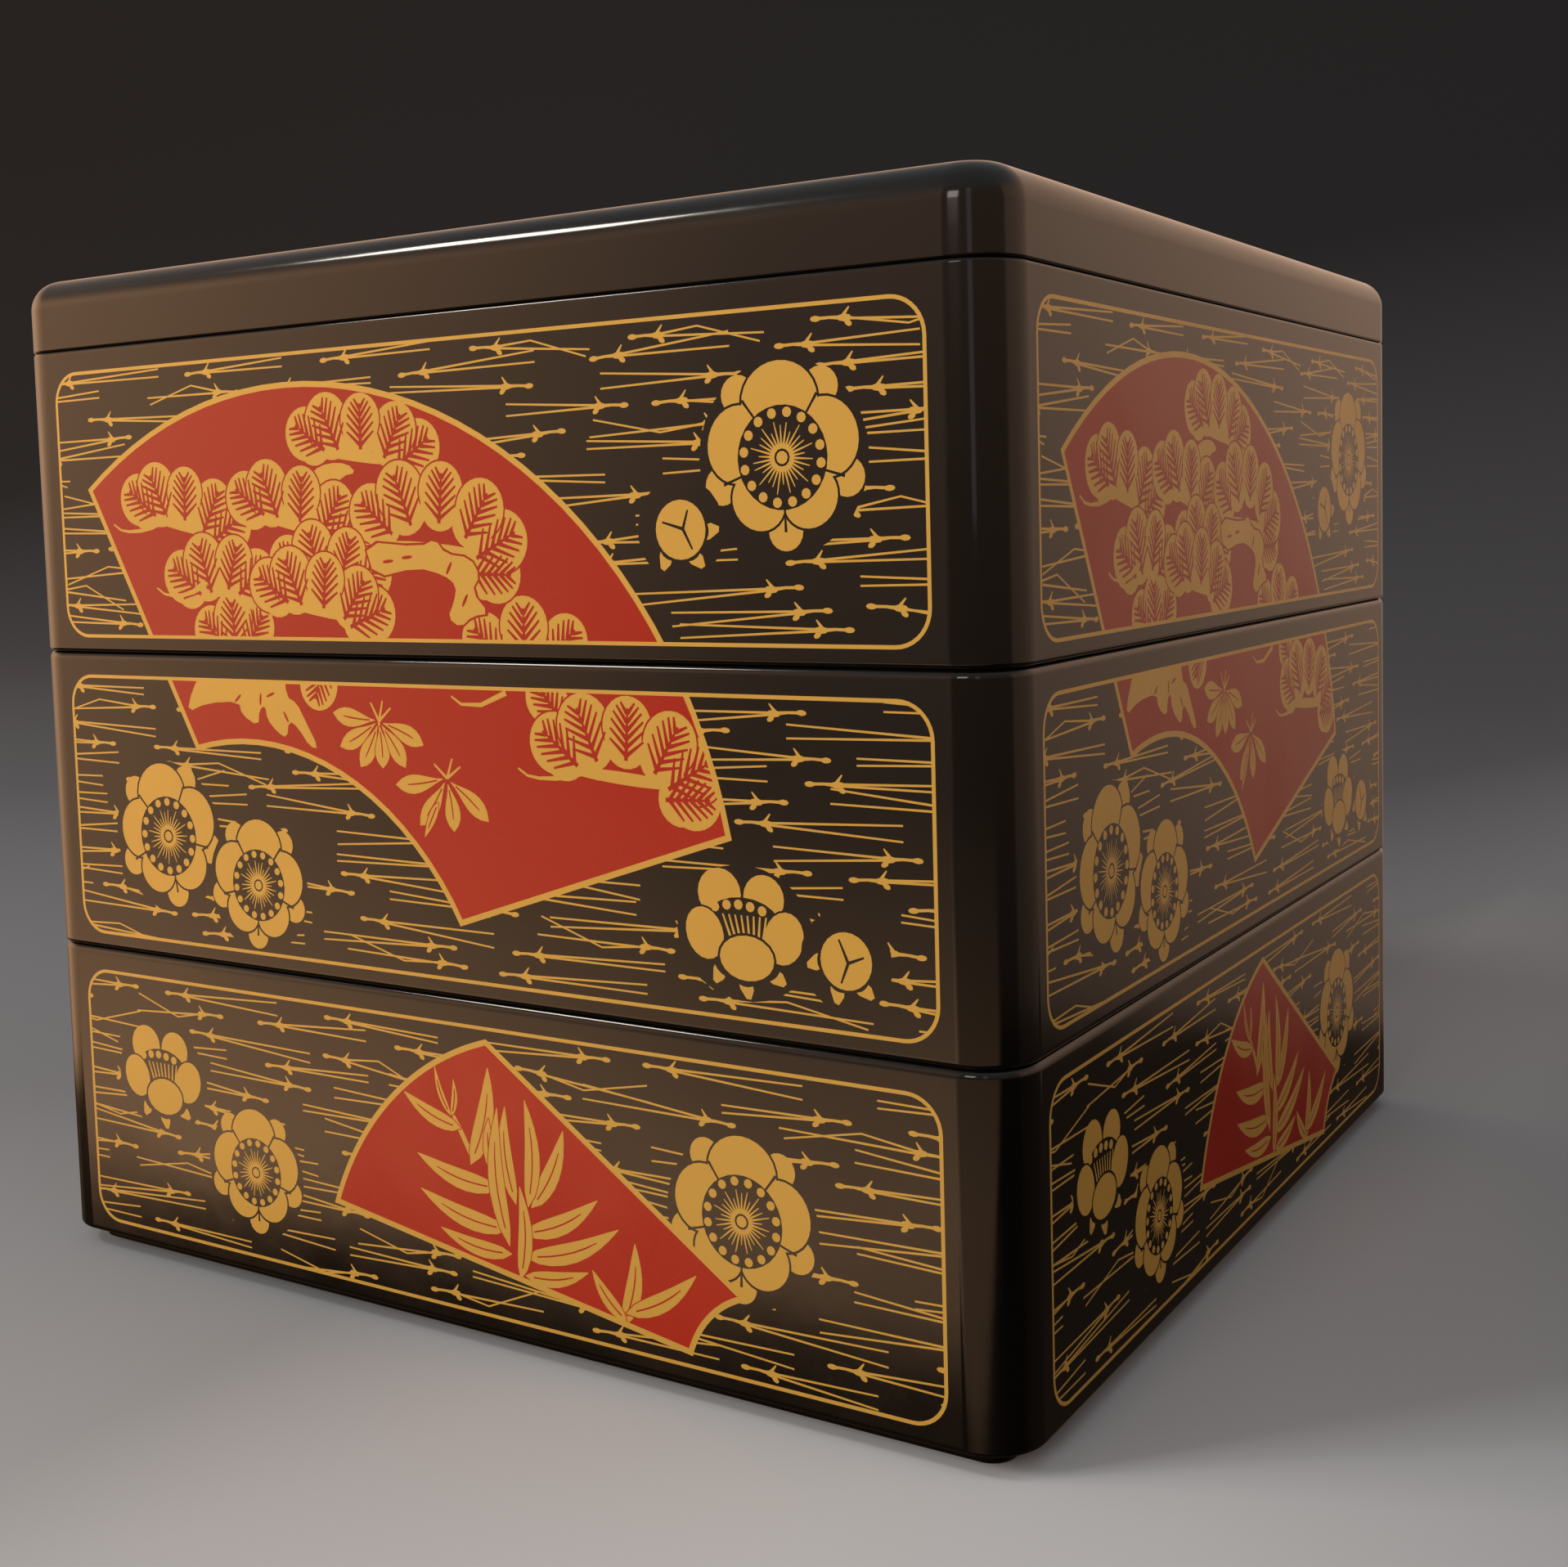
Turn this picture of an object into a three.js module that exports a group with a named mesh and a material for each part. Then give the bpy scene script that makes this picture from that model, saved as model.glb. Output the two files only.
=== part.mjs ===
// A square stacking box of three open tiers under a lift-off lid, in black lacquer.
// Millimetres, +Z up. The origin is on the table, under the middle of the stack.
import * as THREE from 'three';

// Plan: one rounded square that every piece shares.
const WIDTH = 196;
const CORNER_RADIUS = 8.5;
const CORNER_STEPS = 7;
const LEAST_RADIUS = 0.8;

// Tiers: equal open trays, each with a set-in foot that drops into the tray below.
const TIER_HEIGHT = 53.75;
const WALL = 4;
const FOOT_HEIGHT = 3;
const FOOT_INSET = 4.5;
const FOOT_WIDTH = 4;
const FOOT_ROUND = 0.5;
const UNDERSIDE_RECESS = 2;
const FLOOR_TOP = 5.5;
const FLOOR_FILLET = 3;
const RIM_ROUND_OUTSIDE = 1.25;
const RIM_ROUND_INSIDE = 0.75;
const LOWER_ROUND = 0.75;

// Lid: flush with the walls, softly rounded on top, with a rebate that locates it.
const LID_HEIGHT = 13;
const LID_TOP_ROUND = 5.5;
const LID_PLATE = 4;
const LID_LIP_DROP = 3;
const LID_LIP_WIDTH = 2;
const LID_LIP_ROUND = 0.5;
const LID_FILLET = 2.5;

const ROUND_STEPS = 3;
const FILLET_STEPS = 4;
const LID_ROUND_STEPS = 6;

const QUARTER = Math.PI / 2;
const RIGHT = 0;
const UP = QUARTER;
const LEFT = 2 * QUARTER;
const DOWN = 3 * QUARTER;

const LACQUER = { color: 0x0b0a09, roughness: 0.16, metalness: 0 };

// A profile is a run of [inset from the outer face, height] points.
// It starts at the inside of one flat cap and ends at the edge of the other.
class Profile {
  constructor() {
    this.points = [];
  }

  to(inset, height) {
    this.points.push(new THREE.Vector2(inset, height));
    return this;
  }

  // A quarter round about a centre, from one direction to the next.
  round(inset, height, radius, from, to, steps = ROUND_STEPS) {
    const arc = new THREE.EllipseCurve(inset, height, radius, radius, from, to, to < from);
    arc.getPoints(steps).forEach((point) => this.points.push(point));
    return this;
  }
}

// One ring of the rounded square, a given inset in from the outer face.
function planRing(inset) {
  const half = WIDTH / 2 - inset;
  const radius = Math.max(CORNER_RADIUS - inset, LEAST_RADIUS);
  const ring = [];
  for (let corner = 0; corner < 4; corner += 1) {
    const turn = corner * QUARTER;
    const centre = new THREE.Vector2(half - radius, half - radius);
    centre.rotateAround(new THREE.Vector2(), turn);
    for (let step = 0; step <= CORNER_STEPS; step += 1) {
      const angle = turn + (step / CORNER_STEPS) * QUARTER;
      const x = centre.x + radius * Math.cos(angle);
      const y = centre.y + radius * Math.sin(angle);
      ring.push(new THREE.Vector2(x, y));
    }
  }
  return ring;
}

// Carries a profile around the plan and closes both ends with flat caps.
function sweep(profile) {
  const positions = [];
  const faces = [];
  const rows = profile.points;
  rows.forEach((row) => {
    planRing(row.x).forEach((point) => positions.push(point.x, point.y, row.y));
  });
  const count = positions.length / 3 / rows.length;
  for (let row = 0; row + 1 < rows.length; row += 1) {
    for (let i = 0; i < count; i += 1) {
      const next = (i + 1) % count;
      const a = row * count + i;
      const b = row * count + next;
      const c = (row + 1) * count + next;
      const d = (row + 1) * count + i;
      faces.push(a, b, c, a, c, d);
    }
  }
  const last = (rows.length - 1) * count;
  const cap = THREE.ShapeUtils.triangulateShape(planRing(0), []);
  cap.forEach(([a, b, c]) => faces.push(a, c, b));
  cap.forEach(([a, b, c]) => faces.push(last + a, last + b, last + c));
  const geometry = new THREE.BufferGeometry();
  geometry.setAttribute('position', new THREE.Float32BufferAttribute(positions, 3));
  geometry.setIndex(faces);
  geometry.computeVertexNormals();
  return geometry;
}

// Underside, foot, outer wall, rim, inner wall and floor of one tier.
// Height 0 is the bottom of the foot.
function tierGeometry() {
  const shoulder = FOOT_HEIGHT;
  const rim = FOOT_HEIGHT + TIER_HEIGHT;
  const footInside = FOOT_INSET + FOOT_WIDTH;
  const outside = RIM_ROUND_OUTSIDE;
  const inside = RIM_ROUND_INSIDE;
  const fillet = FLOOR_FILLET;
  const profile = new Profile();
  profile.to(footInside, UNDERSIDE_RECESS);
  profile.to(footInside, 0);
  profile.round(FOOT_INSET + FOOT_ROUND, FOOT_ROUND, FOOT_ROUND, DOWN, LEFT);
  profile.to(FOOT_INSET, shoulder);
  profile.round(LOWER_ROUND, shoulder + LOWER_ROUND, LOWER_ROUND, DOWN, LEFT);
  profile.round(outside, rim - outside, outside, LEFT, UP);
  profile.round(WALL - inside, rim - inside, inside, UP, RIGHT);
  profile.round(WALL + fillet, FLOOR_TOP + fillet, fillet, LEFT, DOWN, FILLET_STEPS);
  return sweep(profile);
}

// Ceiling, lip, rebate, outer wall and top of the lid.
// Height 0 is the lower edge of its outer wall, where it rests on the rim.
function lidGeometry() {
  const lipOutside = FOOT_INSET;
  const lipInside = FOOT_INSET + LID_LIP_WIDTH;
  const lipRound = LID_LIP_ROUND;
  const ceiling = LID_HEIGHT - LID_PLATE;
  const fillet = LID_FILLET;
  const top = LID_TOP_ROUND;
  const profile = new Profile();
  profile.round(lipInside + fillet, ceiling - fillet, fillet, UP, LEFT);
  profile.to(lipInside, -LID_LIP_DROP);
  profile.round(lipOutside + lipRound, lipRound - LID_LIP_DROP, lipRound, DOWN, LEFT);
  profile.to(lipOutside, 0);
  profile.round(LOWER_ROUND, LOWER_ROUND, LOWER_ROUND, DOWN, LEFT);
  profile.round(top, LID_HEIGHT - top, top, LEFT, UP, LID_ROUND_STEPS);
  return sweep(profile);
}

function piece(name, geometry, height) {
  const mesh = new THREE.Mesh(geometry, new THREE.MeshStandardMaterial(LACQUER));
  mesh.name = name;
  mesh.position.z = height;
  return mesh;
}

const stackingBox = new THREE.Group();
const tierNames = ['bottom_tier', 'middle_tier', 'top_tier'];
tierNames.forEach((name, level) => {
  stackingBox.add(piece(name, tierGeometry(), level * TIER_HEIGHT));
});
stackingBox.add(piece('lid', lidGeometry(), FOOT_HEIGHT + tierNames.length * TIER_HEIGHT));

export default stackingBox;
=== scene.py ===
import math
import random

import bmesh
import bpy
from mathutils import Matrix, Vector
from mathutils.geometry import delaunay_2d_cdt


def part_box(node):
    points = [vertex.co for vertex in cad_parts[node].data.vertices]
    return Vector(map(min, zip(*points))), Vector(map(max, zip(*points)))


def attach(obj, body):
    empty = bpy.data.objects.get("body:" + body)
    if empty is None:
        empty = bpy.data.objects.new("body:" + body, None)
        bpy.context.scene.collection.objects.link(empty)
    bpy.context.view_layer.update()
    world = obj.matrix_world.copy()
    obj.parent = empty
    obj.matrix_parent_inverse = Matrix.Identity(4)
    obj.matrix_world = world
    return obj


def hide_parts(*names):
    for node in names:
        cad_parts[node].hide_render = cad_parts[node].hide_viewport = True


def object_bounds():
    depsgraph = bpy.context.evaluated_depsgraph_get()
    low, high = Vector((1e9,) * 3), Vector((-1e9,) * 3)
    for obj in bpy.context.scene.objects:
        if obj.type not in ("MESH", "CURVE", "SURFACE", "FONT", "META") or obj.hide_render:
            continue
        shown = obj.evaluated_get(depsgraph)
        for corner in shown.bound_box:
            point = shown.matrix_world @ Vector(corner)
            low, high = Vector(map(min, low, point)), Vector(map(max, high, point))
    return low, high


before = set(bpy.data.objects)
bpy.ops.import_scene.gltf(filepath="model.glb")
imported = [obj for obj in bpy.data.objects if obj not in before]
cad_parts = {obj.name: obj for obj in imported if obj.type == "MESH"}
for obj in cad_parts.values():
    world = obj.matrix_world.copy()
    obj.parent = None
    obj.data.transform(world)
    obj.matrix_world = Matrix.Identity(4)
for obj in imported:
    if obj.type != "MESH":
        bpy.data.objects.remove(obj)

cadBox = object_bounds()
mm = 0.001
scene = bpy.context.scene
print("frame loaded")


# materials

def toLinear(hexColour):
    channels = [int(hexColour[i:i + 2], 16) / 255 for i in (1, 3, 5)]
    return [c / 12.92 if c < 0.04045 else ((c + 0.055) / 1.055) ** 2.4 for c in channels] + [1.0]


def addNode(tree, kind, settings, links=()):
    node = tree.nodes.new(kind)
    for key, value in settings.items():
        if isinstance(key, int) or key in node.inputs:
            node.inputs[key].default_value = value
        else:
            setattr(node, key, value)
    for key, source in links:
        tree.links.new(source, node.inputs[key])
    return node


def lacquerFinish(name, finish):
    material = bpy.data.materials.new(name)
    material.use_nodes = True
    tree = material.node_tree
    tree.nodes.clear()
    place = addNode(tree, "ShaderNodeTexCoord", {}).outputs["Object"]
    grain = addNode(tree, "ShaderNodeTexNoise", {
        "Scale": 1 / (finish["grainSize"] * mm), "Detail": 3.0, "Roughness": 0.6}, [("Vector", place)])
    haze = addNode(tree, "ShaderNodeTexNoise", {
        "Scale": 1 / (finish["hazeSize"] * mm), "Detail": 2.0}, [("Vector", place)])
    mixed = addNode(tree, "ShaderNodeMath", {"operation": "MULTIPLY_ADD", 1: finish["grainShare"]}, [
        (0, grain.outputs["Fac"]), (2, haze.outputs["Fac"])])
    gloss = addNode(tree, "ShaderNodeMapRange", {  # from where to where the mixed noises mostly lie
        "From Min": 0.35 + 0.4 * finish["grainShare"], "From Max": 0.65 + 0.6 * finish["grainShare"],
        "To Min": finish["roughness"][0], "To Max": finish["roughness"][1]}, [("Value", mixed.outputs[0])])
    waves = addNode(tree, "ShaderNodeTexNoise", {
        "Scale": 1 / (finish["waveSize"] * mm), "Detail": 1.0}, [("Vector", place)])
    relief = addNode(tree, "ShaderNodeBump", {
        "Strength": 1.0, "Distance": finish["waveHeight"] * mm}, [("Height", waves.outputs["Fac"])])
    grit = addNode(tree, "ShaderNodeBump", {
        "Strength": 1.0, "Distance": finish["grainHeight"] * mm}, [
        ("Height", grain.outputs["Fac"]), ("Normal", relief.outputs["Normal"])])
    shader = addNode(tree, "ShaderNodeBsdfPrincipled", {
        "Base Color": toLinear(finish["colour"]), "Metallic": finish["metallic"], "IOR": finish["ior"],
        "Coat Weight": finish["coat"], "Coat Roughness": finish["coatRoughness"], "Coat IOR": 1.5}, [
        ("Roughness", gloss.outputs["Result"]), ("Normal", grit.outputs["Normal"])])
    addNode(tree, "ShaderNodeOutputMaterial", {}, [("Surface", shader.outputs["BSDF"])])
    return material


# black lacquer, sprayed and rubbed down: a near mirror with a faint orange peel and hazy rubbed patches
blackLacquer = lacquerFinish("blackLacquer", {
    "colour": "#0b0a09", "metallic": 0.0, "ior": 1.5, "coat": 0.0, "coatRoughness": 0.05,
    "roughness": (0.07, 0.14), "hazeSize": 35, "grainSize": 0.8, "grainShare": 0.25,
    "grainHeight": 0.0004, "waveSize": 7, "waveHeight": 0.012})
# gold powder print: satin and grainy, its grains drawn twenty times too coarse so that they show
goldPowder = lacquerFinish("goldPowder", {
    "colour": "#cfa746", "metallic": 0.3, "ior": 1.5, "coat": 0.6, "coatRoughness": 0.16,
    "roughness": (0.42, 0.58), "hazeSize": 18, "grainSize": 0.35, "grainShare": 0.9,
    "grainHeight": 0.012, "waveSize": 7, "waveHeight": 0.012})
# vermilion lacquer: opaque pigment under a soft gloss, with cloudy rubbed patches
vermilionLacquer = lacquerFinish("vermilionLacquer", {
    "colour": "#a31a04", "metallic": 0.0, "ior": 1.5, "coat": 0.0, "coatRoughness": 0.1,
    "roughness": (0.16, 0.30), "hazeSize": 25, "grainSize": 0.6, "grainShare": 0.35,
    "grainHeight": 0.0008, "waveSize": 7, "waveHeight": 0.012})
finishes = [blackLacquer, goldPowder, vermilionLacquer]
black, gold, red = range(len(finishes))
print("lacquers mixed")


# turned and cut bodies of the tiers and the lid, in millimetres

bodyShape = {"cornerRadius": 8.5, "cornerSegments": 20, "edgeStrip": 0.3, "smoothAngle": 32}
width = (cadBox[1][0] - cadBox[0][0]) / mm
half = width / 2


def insetOf(point):
    reach = half - bodyShape["cornerRadius"]
    side = max(abs(point.x) / mm - reach, abs(point.y) / mm - reach)
    corner = math.hypot(max(abs(point.x) / mm - reach, 0), max(abs(point.y) / mm - reach, 0))
    return bodyShape["cornerRadius"] - (corner if side > 0 else side)


def pick(kind, test):
    bpy.ops.mesh.select_mode(type=kind)
    bpy.ops.mesh.select_all(action="DESELECT")
    mesh = bpy.context.object.data
    work = bmesh.from_edit_mesh(mesh)
    for part in (work.edges if kind == "EDGE" else work.faces):
        if test(part):
            part.select_set(True)
    work.select_flush_mode()
    bmesh.update_edit_mesh(mesh)


def pickRing(height, inset, near=0.06):
    pick("EDGE", lambda edge: all(
        abs(v.co.z / mm - height) < near and abs(insetOf(v.co) - inset) < near for v in edge.verts))


def pickFlat(direction, height):
    pick("FACE", lambda face: face.normal.z * direction > 0.99
         and abs(face.calc_center_median().z / mm - height) < 0.06)


def roundPicked(radius, segments):
    bpy.ops.mesh.bevel(offset=radius * mm, segments=segments, affect="EDGES", clamp_overlap=False)


def step(inset, rise):
    bpy.ops.mesh.inset(thickness=inset * mm)
    bpy.ops.mesh.extrude_region_move(TRANSFORM_OT_translate={"value": (0, 0, rise * mm)})


def startBlock(name, low, high):
    bpy.ops.object.select_all(action="DESELECT")
    bpy.ops.mesh.primitive_cube_add(size=1, location=(0, 0, (low + high) / 2 * mm))
    piece = bpy.context.object
    piece.name = name
    piece.scale = (width * mm, width * mm, (high - low) * mm)
    bpy.ops.object.transform_apply(location=True, rotation=True, scale=True)
    for finish in finishes:
        piece.data.materials.append(finish)
    bpy.ops.object.mode_set(mode="EDIT")
    pick("EDGE", lambda edge: abs(edge.verts[0].co.z - edge.verts[1].co.z) > mm)
    roundPicked(bodyShape["cornerRadius"], bodyShape["cornerSegments"])
    return piece


def lacquerInside(piece, test):
    pick("FACE", test)
    piece.active_material_index = red
    bpy.ops.object.material_slot_assign()


def finishBody(paintedFlat):
    pick("FACE", paintedFlat)
    bpy.ops.mesh.inset(thickness=bodyShape["edgeStrip"] * mm)  # a strip that keeps the flat's edge crisp
    bpy.ops.mesh.select_all(action="SELECT")
    bpy.ops.mesh.normals_make_consistent(inside=False)
    bpy.ops.object.mode_set(mode="OBJECT")
    bpy.ops.object.shade_smooth_by_angle(angle=math.radians(bodyShape["smoothAngle"]))


def evenNormals(piece):
    bpy.context.view_layer.objects.active = piece
    bpy.ops.object.modifier_add(type="WEIGHTED_NORMAL")
    piece.modifiers[-1].keep_sharp = True
    bpy.ops.object.modifier_apply(modifier=piece.modifiers[-1].name)


# pictures: outlines in millimetres, laid over one another in order

sides = {  # outward, rightwards and upwards, as seen from outside
    "front": ((0, -1, 0), (1, 0, 0), (0, 0, 1)),
    "right": ((1, 0, 0), (0, 1, 0), (0, 0, 1)),
    "back": ((0, 1, 0), (-1, 0, 0), (0, 0, 1)),
    "left": ((-1, 0, 0), (0, -1, 0), (0, 0, 1)),
    "top": ((0, 0, 1), (1, 0, 0), (0, 1, 0))}


def turned(angle, length, start=(0, 0)):
    angle = math.radians(angle)
    return (start[0] + length * math.cos(angle), start[1] + length * math.sin(angle))


def arc(centre, radius, first, last, count):
    return [turned(first + (last - first) * i / count, radius, centre) for i in range(count + 1)]


def disc(centre, radius, count=20):
    return arc(centre, radius, 0, 360, count)[:-1]


def oval(centre, long, short, tilt, count=20):
    turns = [math.tau * i / count for i in range(count)]
    spread = [(long * math.cos(turn), short * math.sin(turn)) for turn in turns]
    c, s = math.cos(math.radians(tilt)), math.sin(math.radians(tilt))
    return [(centre[0] + x * c - y * s, centre[1] + x * s + y * c) for x, y in spread]


def roundedBox(low, high, radius, count=9):
    right, top, left, bottom = high[0] - radius, high[1] - radius, low[0] + radius, low[1] + radius
    points = []
    for quarter, centre in enumerate(((right, top), (left, top), (left, bottom), (right, bottom))):
        points += arc(centre, radius, 90 * quarter, 90 * quarter + 90, count)
    return points


def brush(points, widths):
    left, right = [], []
    for i, point in enumerate(points):
        before, after = points[max(i - 1, 0)], points[min(i + 1, len(points) - 1)]
        run = math.hypot(after[0] - before[0], after[1] - before[1])
        across = (-(after[1] - before[1]) / run, (after[0] - before[0]) / run)
        reach = widths[i] / 2
        left.append((point[0] + across[0] * reach, point[1] + across[1] * reach))
        right.append((point[0] - across[0] * reach, point[1] - across[1] * reach))
    return right + left[::-1]


def leafShape(base, tip, breadth, bow, blunt, count=8):
    dx, dy = tip[0] - base[0], tip[1] - base[1]
    steps = [i / count for i in range(count + 1)]
    bows = [bow * math.sin(math.pi * t) for t in steps]
    spine = [(base[0] + dx * t - dy * b, base[1] + dy * t + dx * b) for t, b in zip(steps, bows)]
    return brush(spine, [max(breadth * math.sin(math.pi * t ** blunt) ** 0.8, 0.12) for t in steps]), spine


def softened(points, closed=True):
    cut = []
    for a, b in zip(points, points[1:] + points[:1] if closed else points[1:]):
        cut += [(a[0] + (b[0] - a[0]) * t, a[1] + (b[1] - a[1]) * t) for t in (0.25, 0.75)]
    return cut if closed else [points[0]] + cut + [points[-1]]


def shrunk(points, margin):
    area = sum(a[0] * b[1] - b[0] * a[1] for a, b in zip(points, points[1:] + points[:1]))
    inner = []
    for i, point in enumerate(points):
        before, after = points[i - 1], points[(i + 1) % len(points)]
        first = Vector((point[0] - before[0], point[1] - before[1])).normalized()
        second = Vector((after[0] - point[0], after[1] - point[1])).normalized()
        inward = Vector((-first.y - second.y, first.x + second.x)) * (1 if area > 0 else -1)
        inward *= 2 * margin / max(inward.length_squared, 0.2)
        inner.append((point[0] + inward.x, point[1] + inward.y))
    return inner


def inside(point, outline):
    hit = False
    for a, b in zip(outline, outline[1:] + outline[:1]):
        if (a[1] > point[1]) != (b[1] > point[1]):
            if point[0] < a[0] + (point[1] - a[1]) / (b[1] - a[1]) * (b[0] - a[0]):
                hit = not hit
    return hit


def clipped(points, low, high):
    for axis, limit, sign in ((0, low[0], 1), (0, high[0], -1), (1, low[1], 1), (1, high[1], -1)):
        kept = []
        for a, b in zip(points, points[1:] + points[:1]):
            da, db = (a[axis] - limit) * sign, (b[axis] - limit) * sign
            if da >= 0:
                kept.append(a)
            if (da >= 0) != (db >= 0):
                t = da / (da - db)
                kept.append((a[0] + (b[0] - a[0]) * t, a[1] + (b[1] - a[1]) * t))
        points = kept
        if len(points) < 3:
            return []
    return points


def lay(picture, points, colour):
    points = clipped(points, *picture["window"])
    if len(points) > 2:
        area = sum(a[0] * b[1] - b[0] * a[1] for a, b in zip(points, points[1:] + points[:1])) / 2
        if abs(area) > 0.01:
            picture["shapes"].append((points if area > 0 else points[::-1], colour, picture["within"]))


frameLine = {"low": (10.8, 2.6), "high": (185.2, 49.7), "corner": 5.6, "line": 0.58}


def newPicture(low, high, corner, base):
    line = frameLine["line"]
    outer = roundedBox(low, high, corner)
    innerLow, innerHigh = (low[0] + line, low[1] + line), (high[0] - line, high[1] - line)
    return {"outer": outer, "inner": roundedBox(innerLow, innerHigh, corner - line), "low": innerLow,
            "high": innerHigh, "base": base, "shapes": [], "covers": [], "within": None,
            "window": ((low[0] + line / 2, low[1] + line / 2), (high[0] - line / 2, high[1] - line / 2))}


needleShape = {"length": 27, "stem": 5.0, "rowPitch": 3.15, "gap": (2, 13), "line": 0.31, "spread": 1.5,
               "tilt": 3.6, "kinked": 0.2}


def needlePair(picture, head, length, facing, tilt, spread, kink):
    c, s = facing * math.cos(math.radians(tilt)), math.sin(math.radians(tilt))

    def at(along, across):
        return (head[0] + along * c - across * s * facing, head[1] + along * s + across * c * facing)

    line, stem = needleShape["line"], needleShape["stem"]
    lay(picture, oval(at(0.8, 0), 0.85, 0.42, tilt, 8), gold)
    lay(picture, brush([at(0.8, 0), at(3, 0.1), at(stem, 0)], [0.45, 0.4, 0.6]), gold)
    lay(picture, oval(at(stem + 0.3, 0), 1.15, 0.52, tilt, 8), gold)
    lay(picture, brush([at(stem, 0.15), at(stem + 1.0, 1.45)], [0.6, 0.2]), gold)
    lay(picture, oval(at(stem + 0.9, -0.7), 0.65, 0.42, tilt - 30 * facing, 7), gold)
    for side in (1, -1):
        path = [at(stem, 0.1 * side), at(length, spread / 2 * side)]
        if kink and side > 0:
            path = [path[0], at(length * 0.52, kink * 0.8), at(length * 0.97, -kink * 1.6)]
        lay(picture, brush(path, [line * 1.15] + [line * 0.9] * (len(path) - 1)), gold)


def strewNeedles(picture, seed):
    chance = random.Random(seed)
    low, high = picture["low"], picture["high"]
    rows = int((high[1] - low[1]) / needleShape["rowPitch"])
    for row in range(rows):
        level = low[1] + (row + 0.5) * (high[1] - low[1]) / rows
        along = low[0] - chance.uniform(0, needleShape["length"])
        while along < high[0]:
            length = needleShape["length"] * chance.uniform(0.8, 1.1)
            facing = chance.choice((1, -1))
            tilt = chance.uniform(-needleShape["tilt"], needleShape["tilt"])
            spread = needleShape["spread"] * chance.uniform(0.6, 1.5)
            kinked = chance.random() < needleShape["kinked"]
            kink = chance.choice((1, -1)) * chance.uniform(1, 1.6) if kinked else 0
            head = (along if facing > 0 else along + length, level + chance.uniform(-0.4, 0.4))
            probes = [(along + length * t, level) for t in (0.02, 0.35, 0.65, 0.98)]
            if not any(all(inside(p, cover) for p in probes) for cover in picture["covers"]):
                needlePair(picture, head, length, facing, tilt, spread, kink)
            along += length + chance.uniform(*needleShape["gap"])


# shares of the blossom's radius; the gap is in millimetres
blossomShape = {"long": 0.465, "short": 0.42, "back": 0.21, "gap": 0.36, "clear": 1.04, "eye": 0.55,
                "ring": 0.475, "dots": 16, "dot": 0.056, "rays": 30, "ray": 0.34, "heart": 0.15}


def plumBlossom(picture, centre, radius, turn):
    shape, gap = blossomShape, blossomShape["gap"]
    petals = []
    for angle in [turn + 72 * i for i in range(5)]:
        high = math.sin(math.radians(angle))
        size = radius * (0.85 + 0.15 * high)  # the upper petals are drawn larger
        long, short = shape["long"] * size, shape["short"] * size
        petals.append((angle, turned(angle, radius * (0.92 + 0.09 * high) - short, centre), long, short))
    lay(picture, disc(centre, radius * shape["clear"], 30), black)
    for angle, *_ in petals:
        reach = radius * (0.82 + 0.05 * math.sin(math.radians(angle + 36)))
        lay(picture, disc(turned(angle + 36, reach, centre), shape["back"] * radius), gold)
    for angle, middle, long, short in petals:  # a dark gap all round each petal
        lay(picture, oval(middle, long + gap, short + gap, angle + 90, 28), black)
    for angle, middle, long, short in petals:
        lay(picture, oval(middle, long, short, angle + 90, 28), gold)
    for angle in [turn + 36 + 72 * i for i in range(5)]:
        ends = [turned(angle, radius * t, centre) for t in (shape["eye"] - 0.03, 0.66, 0.78)]
        lay(picture, brush(ends, [gap, gap, gap * 1.3]), black)
    lay(picture, disc(centre, shape["eye"] * radius, 30), black)
    for i in range(shape["rays"]):
        angle = turn + 360 * i / shape["rays"]
        reach = radius * (shape["ray"] + 0.06 * math.sin(i * 2.4))
        ends = [turned(angle, 0.1 * radius, centre), turned(angle, reach, centre)]
        lay(picture, brush(ends, [0.36, 0.14]), gold)
    lay(picture, disc(centre, shape["heart"] * radius, 16), gold)
    lay(picture, disc(centre, 0.095 * radius, 12), black)
    lay(picture, disc(centre, 0.07 * radius, 10), gold)
    for i in range(shape["dots"]):
        angle = turn + 12 + 360 * i / shape["dots"]
        lay(picture, disc(turned(angle, shape["ring"] * radius, centre), shape["dot"] * radius, 9), gold)


def sepal(picture, centre, radius, angle, size):
    wide = math.degrees(size * 0.6 / radius)
    tip = [turned(angle - wide, radius, centre), turned(angle, radius + 0.1 * size, centre),
           turned(angle + wide, radius, centre), turned(angle + 0.3 * wide, radius + size, centre)]
    lay(picture, softened(tip), gold)


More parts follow.
